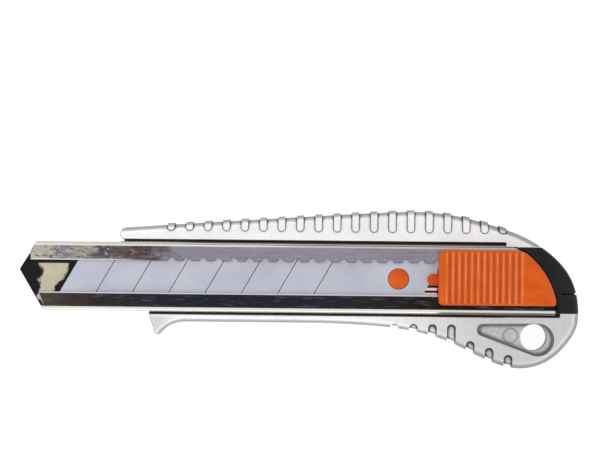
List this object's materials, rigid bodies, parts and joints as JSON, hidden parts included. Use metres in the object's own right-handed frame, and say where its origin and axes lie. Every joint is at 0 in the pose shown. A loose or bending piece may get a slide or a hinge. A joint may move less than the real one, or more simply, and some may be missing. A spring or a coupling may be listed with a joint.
{
  "type": "utility knife",
  "caption": "Snap-off utility knife: die-cast handle, steel blade channel, sliding orange thumb button with a notched lock, scored blade and a pull-off rear cap.",
  "frame": {"origin": "middle of the knife's footprint, on the flat back face that it lies on", "axes": "+X runs from the blade's front end to the rear end, +Y towards the hump of the handle, +Z from the back face up to the thumb button"},
  "size_m": [0.1544, 0.0434, 0.0149],
  "materials": {
    "casting": "satin die casting",
    "plated_steel": "bright plated sheet steel",
    "rivet_steel": "plain zinc-plated rivets",
    "blade_steel": "fine-ground blade steel with a light oil film",
    "orange_plastic": "moulded, half gloss",
    "spring_steel": "hardened strip",
    "black_plastic": "moulded, fine satin"
  },
  "bodies": {
    "handle": {"handle_casting": "casting", "blade_channel": "plated_steel", "channel_rivets": "rivet_steel"},
    "slide": {"blade_carrier": "orange_plastic", "snap_off_blade": "blade_steel"},
    "button": {"slider_button": "orange_plastic"},
    "lock": {"lock_spring": "spring_steel"},
    "cap": {"end_cap": "black_plastic"}
  },
  "joints": [
    {"name": "blade_advance", "type": "slide", "parent": "handle", "child": "slide", "axis": [-1, 0, 0], "range_m": [0, 0.0774]},
    {"name": "button_release", "type": "slide", "parent": "slide", "child": "button", "axis": [-1, 0, 0], "range_m": [0, 0.0012], "stiffness_N_per_m": 1500},
    {"name": "lock_lift", "type": "hinge", "parent": "slide", "child": "lock", "pos_m": [0.0542, 0.00569, 0.01005], "axis": [0, 0, 1], "range_deg": [0, 5.2]},
    {"name": "cap_pull", "type": "slide", "parent": "handle", "child": "cap", "axis": [1, 0, 0], "range_m": [0, 0.02]}
  ],
  "couplings": [
    {"joint": "lock_lift", "follows": "button_release", "rad_per_m": 72.722}
  ]
}
